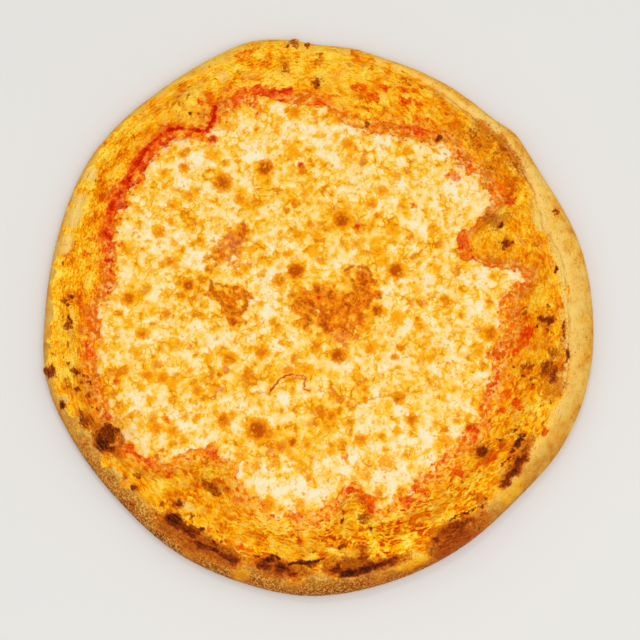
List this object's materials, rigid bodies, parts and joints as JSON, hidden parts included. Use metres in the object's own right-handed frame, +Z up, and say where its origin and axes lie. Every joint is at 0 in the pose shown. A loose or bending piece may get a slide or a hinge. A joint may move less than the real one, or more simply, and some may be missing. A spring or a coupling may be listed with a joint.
{
  "type": "cheese pizza",
  "caption": "Round hand-stretched cheese pizza, uncut, with a puffed browned rim, red sauce at the edge and melted mozzarella with browned spots.",
  "frame": {"origin": "middle of the bounding box, on the flat bottom", "axes": "+Z up through the cheese; +Y along the longer of the two widths, away from the camera; +X to the right"},
  "size_m": [0.3072, 0.32, 0.0234],
  "materials": {
    "crust": "baked bread, golden to tan outside with a floury grain, oily amber on top of the rim, with brown and black scorch marks",
    "sauce": "cooked tomato sauce, deep red, wet and slightly lumpy",
    "cheese": "melted mozzarella, cream white with amber oil and orange-brown blister spots, glossy"
  },
  "bodies": {
    "root": {"crust": "crust", "sauce": "sauce", "cheese": "cheese"}
  },
  "joints": []
}
